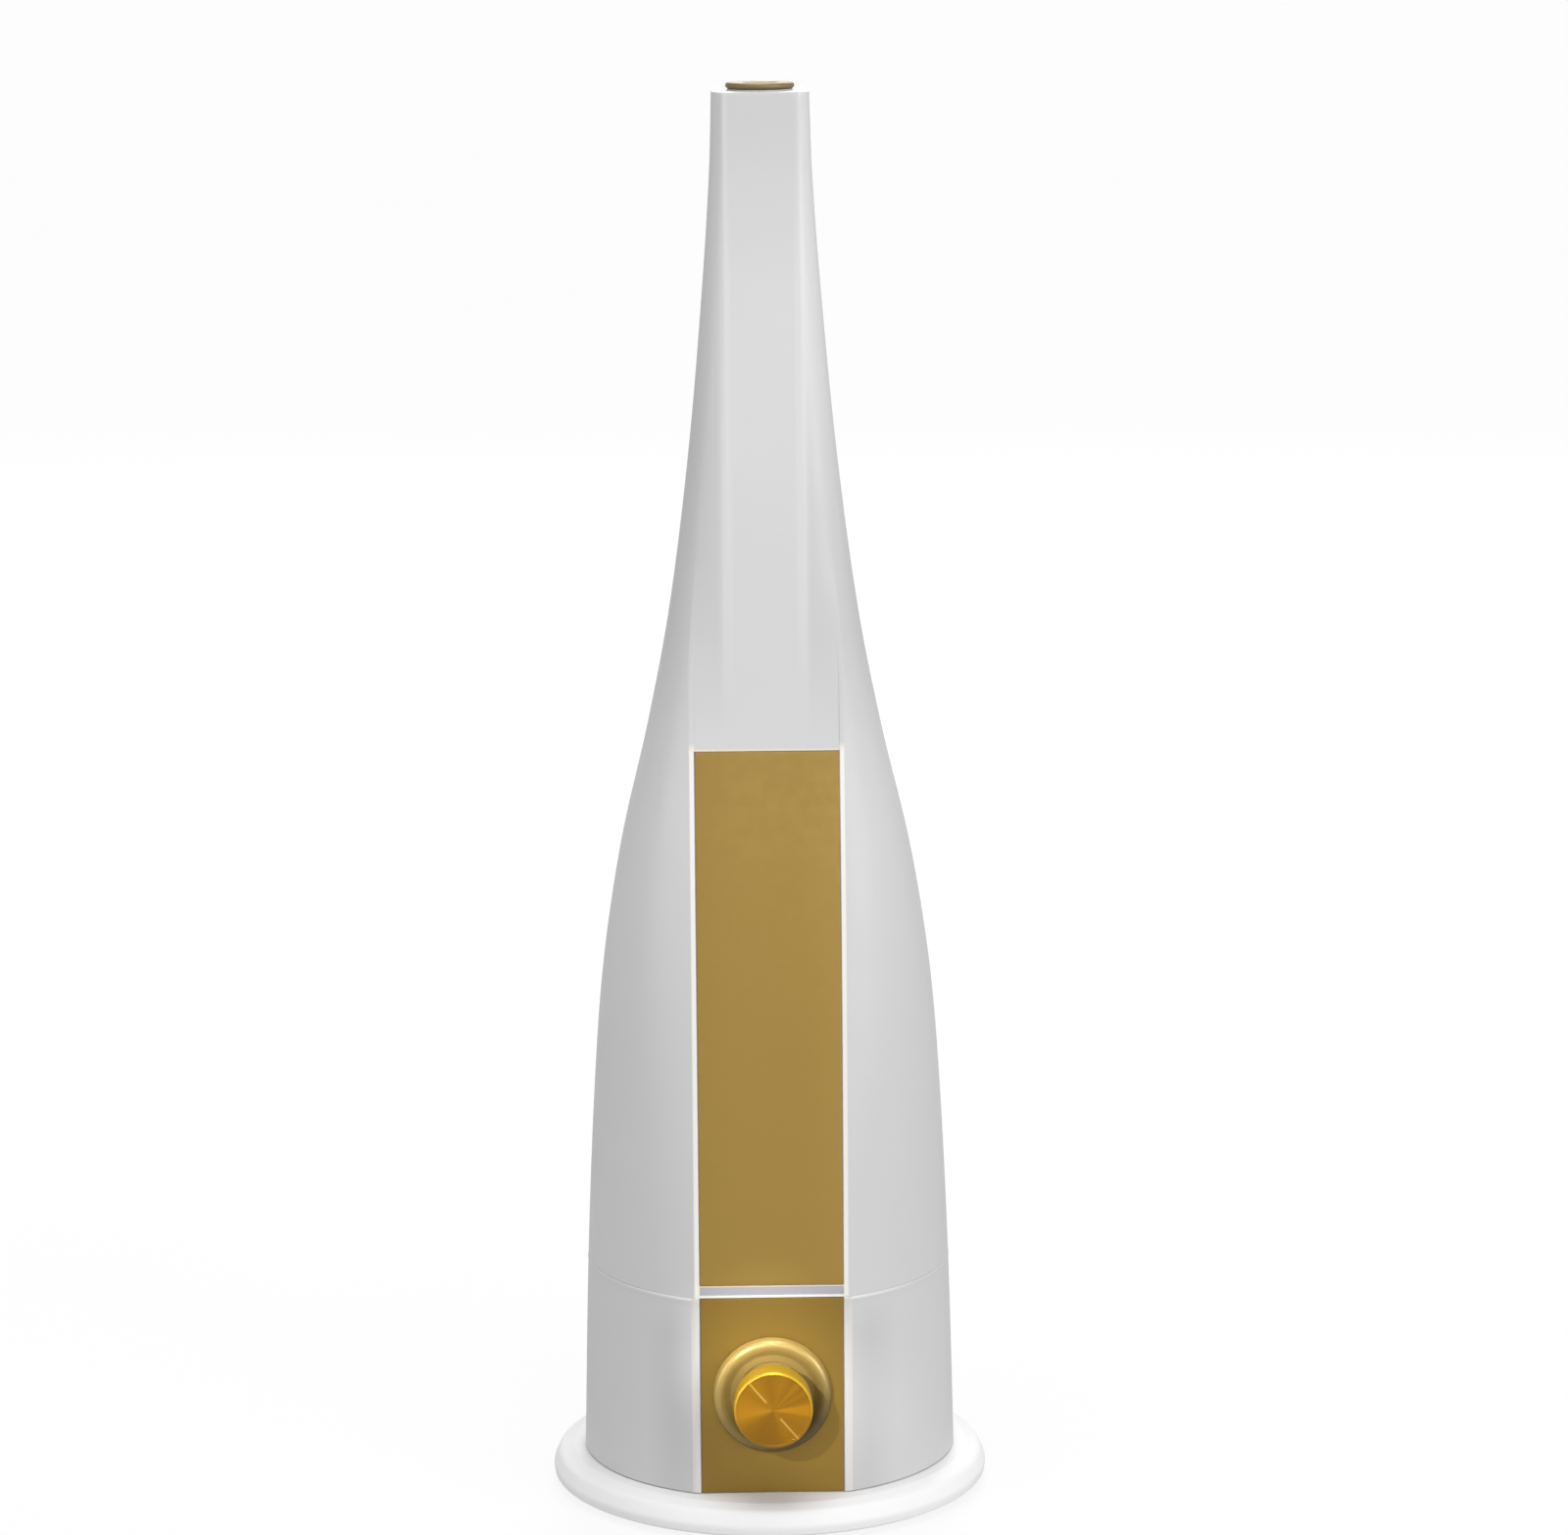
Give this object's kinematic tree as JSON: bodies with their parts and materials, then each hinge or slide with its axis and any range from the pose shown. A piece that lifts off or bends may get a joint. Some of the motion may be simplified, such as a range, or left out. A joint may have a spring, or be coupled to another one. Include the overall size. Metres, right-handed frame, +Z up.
{
  "type": "cool mist humidifier",
  "caption": "Tall bottle-shaped floor humidifier: lift-off water tank with a flat gold front strip, control knob on the base unit, turning mist nozzle on top.",
  "frame": {"origin": "on the floor, under the middle of the round foot plate", "axes": "+Z up along the body's axis, -Y out of the flat front strip and the knob, +X to the right seen from the front"},
  "size_m": [0.25, 0.2518, 0.7993],
  "materials": {
    "white_gloss": "satin gloss, off-white",
    "inner_white": "moulded, slightly translucent",
    "gold_plate": "anodised gold, fine satin",
    "gold_bright": "anodised gold, spun and polished",
    "steel": "plain",
    "bare_aluminium": "extruded",
    "rubber": "matt",
    "silicone": "soft, translucent white",
    "black_plastic": "moulded",
    "board": "solder mask",
    "copper": "enamelled winding",
    "ceramic": "fired, silvered",
    "foam": "open-cell foam"
  },
  "bodies": {
    "base": {"foot_plate": "white_gloss", "foot_pad_1": "rubber", "foot_pad_2": "rubber", "foot_pad_3": "rubber", "foot_pad_4": "rubber", "plate_screw_1": "steel", "plate_screw_2": "steel", "plate_screw_3": "steel", "plate_screw_4": "steel", "intake_grille": "inner_white", "air_filter": "foam", "lower_housing": "white_gloss", "control_panel": "gold_plate", "knob_bezel": "gold_bright", "potentiometer_nut": "steel", "potentiometer": "steel", "power_switch": "black_plastic", "water_basin": "inner_white", "transducer": "ceramic", "transducer_seal": "rubber", "transducer_clamp": "bare_aluminium", "clamp_screw_1": "steel", "clamp_screw_2": "steel", "clamp_screw_3": "steel", "float_clip": "inner_white", "float_switch": "black_plastic", "fan_scroll": "black_plastic", "fan_lid": "black_plastic", "fan_motor": "steel", "air_duct": "inner_white", "circuit_board": "board", "heat_sink": "bare_aluminium", "driver_coil": "copper", "capacitor_1": "black_plastic", "capacitor_2": "black_plastic", "wire_connector": "inner_white", "power_inlet": "black_plastic", "inlet_pin": "steel", "transducer_lead": "black_plastic", "control_lead": "black_plastic", "inlet_lead": "black_plastic"},
    "knob": {"knob_shaft": "bare_aluminium", "knob_core": "black_plastic", "knob_cap": "gold_bright"},
    "fan": {"fan_wheel": "black_plastic"},
    "float": {"float": "inner_white", "float_magnet": "black_plastic"},
    "tank": {"tank_shell": "white_gloss", "front_panel": "gold_plate", "tank_floor": "inner_white", "mist_tube": "inner_white", "tube_gasket": "silicone", "neck_gasket": "silicone"},
    "filler_cap": {"tank_cap": "white_gloss", "cap_gasket": "silicone", "valve_spring": "steel"},
    "valve": {"valve_plunger": "inner_white", "valve_seal": "rubber"},
    "nozzle": {"nozzle_sleeve": "white_gloss"},
    "nozzle_top": {"nozzle_head": "gold_bright"}
  },
  "joints": [
    {"name": "tank_lift", "type": "slide", "parent": "base", "child": "tank", "axis": [0, 0, 1], "range_m": [0, 0.12]},
    {"name": "knob_turn", "type": "hinge", "parent": "base", "child": "knob", "pos_m": [0, -0.11, 0.0775], "axis": [0, 1, 0], "range_deg": [-105, 195]},
    {"name": "fan_spin", "type": "hinge", "parent": "base", "child": "fan", "pos_m": [0, 0, 0.03], "axis": [0, 0, 1], "continuous": true},
    {"name": "float_rise", "type": "slide", "parent": "base", "child": "float", "axis": [0, 0, 1], "range_m": [0, 0.0103]},
    {"name": "tank_cap_turn", "type": "hinge", "parent": "tank", "child": "filler_cap", "pos_m": [-0.054, 0, 0.13], "axis": [0, 0, 1], "range_deg": [0, 90]},
    {"name": "valve_slide", "type": "slide", "parent": "filler_cap", "child": "valve", "axis": [0, 0, -1], "range_m": [0, 0.003], "deforming": ["valve_spring"]},
    {"name": "nozzle_lift", "type": "slide", "parent": "tank", "child": "nozzle", "axis": [0, 0, 1], "range_m": [0, 0.03]},
    {"name": "nozzle_turn", "type": "hinge", "parent": "nozzle", "child": "nozzle_top", "pos_m": [0, 0, 0.79], "axis": [0, 0, 1], "continuous": true}
  ],
  "couplings": [
    {"joint": "valve_slide", "follows": "tank_lift", "ratio": 0.025}
  ]
}
